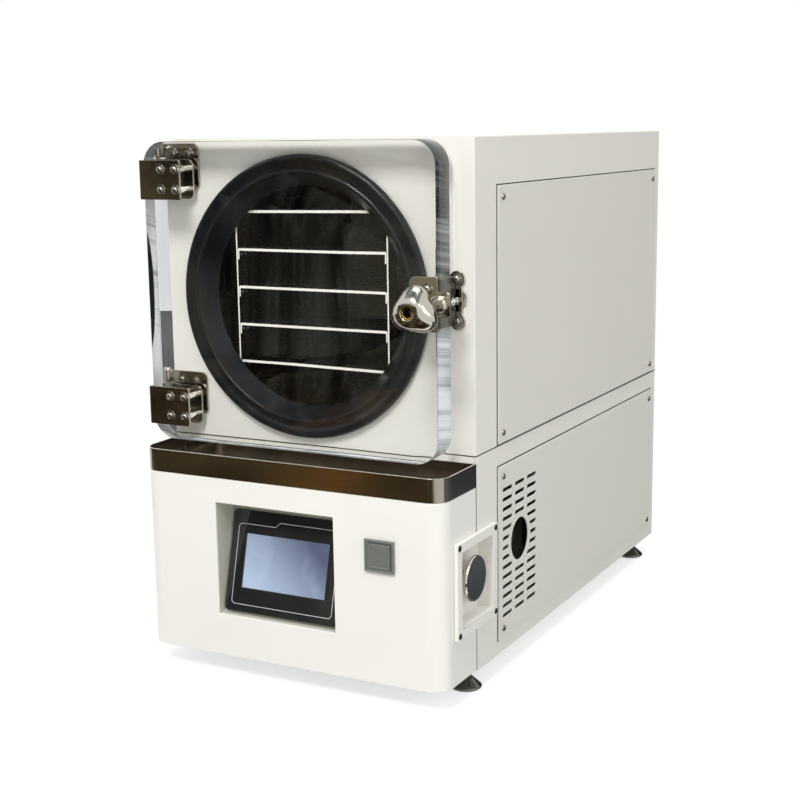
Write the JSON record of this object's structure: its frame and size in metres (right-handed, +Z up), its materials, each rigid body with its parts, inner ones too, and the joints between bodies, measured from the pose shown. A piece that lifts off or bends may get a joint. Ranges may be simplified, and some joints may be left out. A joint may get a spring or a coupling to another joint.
{
  "type": "bench-top freeze dryer",
  "caption": "Bench-top freeze dryer: clear square door on a round vacuum chamber with a shelf rack, over a cabinet with a sloped touch screen, button, drip trough and vent valve recess.",
  "frame": {"origin": "centre of the bounding box at the floor, on the plane of the feet", "axes": "+X to the operator's right, -Y to the front (door, screen), +Z up"},
  "size_m": [0.4184, 0.7606, 0.633],
  "materials": {
    "cabinet": "off-white powder coat, fine stipple",
    "panel": "off-white powder coat, fine stipple",
    "fascia": "smooth off-white paint",
    "trough": "polished stainless steel",
    "stainless": "stainless steel",
    "hardware": "polished stainless steel",
    "chrome": "bright chrome",
    "rubber": "moulded black silicone",
    "acrylic": "clear cast acrylic",
    "screen": "gloss black panel",
    "display": "unlit display glass",
    "button": "satin silver",
    "black_plastic": "moulded black",
    "zinc": "zinc plated",
    "copper": "copper tube",
    "foam": "closed-cell foam",
    "dark_steel": "black paint"
  },
  "bodies": {
    "cabinet": {"lower_housing": "cabinet", "upper_housing": "cabinet", "rear_panel_upper": "panel", "rear_panel_lower": "panel", "side_panel_upper_right": "panel", "side_panel_upper_left": "panel", "side_panel_lower_right": "panel", "side_panel_lower_left": "panel", "deck_plate": "zinc", "fascia": "fascia", "drip_trough": "trough", "screen_pocket": "fascia", "screen_bezel": "screen", "screen_display": "display", "button_bezel": "button", "valve_box": "fascia", "valve_body": "zinc", "chamber_drum": "stainless", "door_gasket": "rubber", "evaporator_coil": "copper", "insulation_jacket": "foam", "chamber_saddle": "zinc", "rack_side_left": "stainless", "rack_side_right": "stainless", "shelf_1": "stainless", "shelf_2": "stainless", "shelf_3": "stainless", "shelf_4": "stainless", "shelf_5": "stainless", "hinge_leaf_upper": "hardware", "hinge_pin_upper": "chrome", "hinge_leaf_lower": "hardware", "hinge_pin_lower": "chrome", "latch_keeper": "hardware", "compressor": "dark_steel", "condenser": "zinc", "fan_shroud": "dark_steel", "fan_motor": "dark_steel", "control_box": "zinc", "power_inlet": "black_plastic", "vacuum_pipe": "stainless", "drain_pipe": "black_plastic"},
    "door": {"door_panel": "acrylic", "hinge_clamp_upper": "hardware", "hinge_clamp_lower": "hardware", "latch_bracket": "hardware"},
    "latch": {"latch_rod": "chrome", "latch_knob": "chrome"},
    "button": {"button_key": "button"},
    "valve": {"valve_knob": "chrome"},
    "fan": {"fan_rotor": "black_plastic"},
    "foot_front_left": {"foot_front_left": "chrome"},
    "foot_front_right": {"foot_front_right": "chrome"},
    "foot_rear_left": {"foot_rear_left": "chrome"},
    "foot_rear_right": {"foot_rear_right": "chrome"}
  },
  "joints": [
    {"name": "door_swing", "type": "hinge", "parent": "cabinet", "child": "door", "pos_m": [-0.20185, -0.26245, 0.45], "axis": [0, 0, -1], "range_deg": [0, 120]},
    {"name": "latch_turn", "type": "hinge", "parent": "door", "child": "latch", "pos_m": [0.18345, -0.31745, 0.454], "axis": [0, 1, 0], "range_deg": [0, 90]},
    {"name": "button_press", "type": "slide", "parent": "cabinet", "child": "button", "axis": [0, 1, 0], "range_m": [0, 0.0025], "stiffness_N_per_m": 800},
    {"name": "valve_turn", "type": "hinge", "parent": "cabinet", "child": "valve", "pos_m": [0.19915, -0.26445, 0.14], "axis": [1, 0, 0], "range_deg": [0, 270]},
    {"name": "fan_spin", "type": "hinge", "parent": "cabinet", "child": "fan", "pos_m": [-0.12385, -0.09145, 0.1078], "axis": [1, 0, 0], "continuous": true},
    {"name": "foot_front_left_turn", "type": "hinge", "parent": "cabinet", "child": "foot_front_left", "pos_m": [-0.17585, -0.24545, 0.01], "axis": [0, 0, 1], "continuous": true},
    {"name": "foot_front_right_turn", "type": "hinge", "parent": "cabinet", "child": "foot_front_right", "pos_m": [0.18415, -0.24545, 0.01], "axis": [0, 0, 1], "continuous": true},
    {"name": "foot_rear_left_turn", "type": "hinge", "parent": "cabinet", "child": "foot_rear_left", "pos_m": [-0.17585, 0.33455, 0.01], "axis": [0, 0, 1], "continuous": true},
    {"name": "foot_rear_right_turn", "type": "hinge", "parent": "cabinet", "child": "foot_rear_right", "pos_m": [0.18415, 0.33455, 0.01], "axis": [0, 0, 1], "continuous": true}
  ]
}
